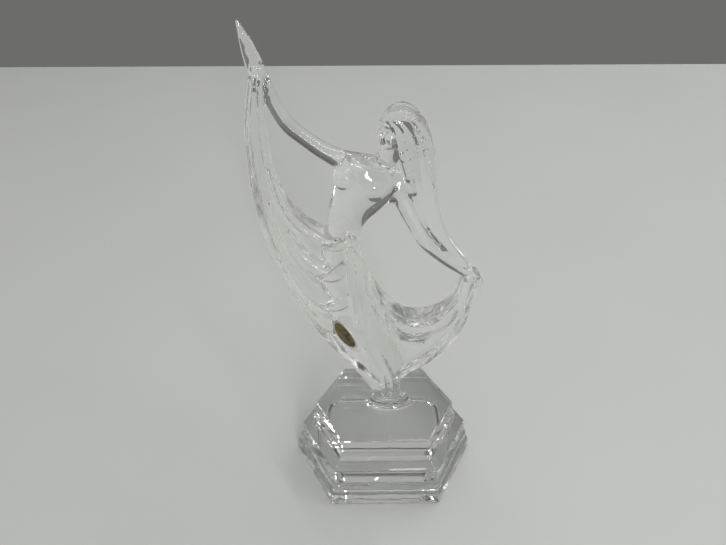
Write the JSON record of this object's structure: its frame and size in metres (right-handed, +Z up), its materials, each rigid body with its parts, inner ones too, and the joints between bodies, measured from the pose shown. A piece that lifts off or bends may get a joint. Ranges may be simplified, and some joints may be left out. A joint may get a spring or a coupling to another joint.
{
  "type": "crystal figurine",
  "caption": "Clear crystal dancer holding out a long folded robe with both arms, bonded to a stepped hexagonal crystal plinth.",
  "frame": {"origin": "middle of the plinth's flat underside, at the level of the surface it stands on", "axes": "+Z up along the figurine's height, the dancer faces -Y, and her raised hand is on the -X side"},
  "size_m": [0.1268, 0.087, 0.2797],
  "materials": {
    "plinth_crystal": "clear pressed crystal, fire polished, soft moulded edges",
    "figure_crystal": "clear pressed crystal, fire polished, slightly wavy skin",
    "clear_adhesive": "clear cured adhesive",
    "gold_foil": "dull aged gold foil with an embossed border"
  },
  "bodies": {
    "root": {"plinth": "plinth_crystal", "dancer_casting": "figure_crystal", "bond_film": "clear_adhesive", "maker_label": "gold_foil"}
  },
  "joints": []
}
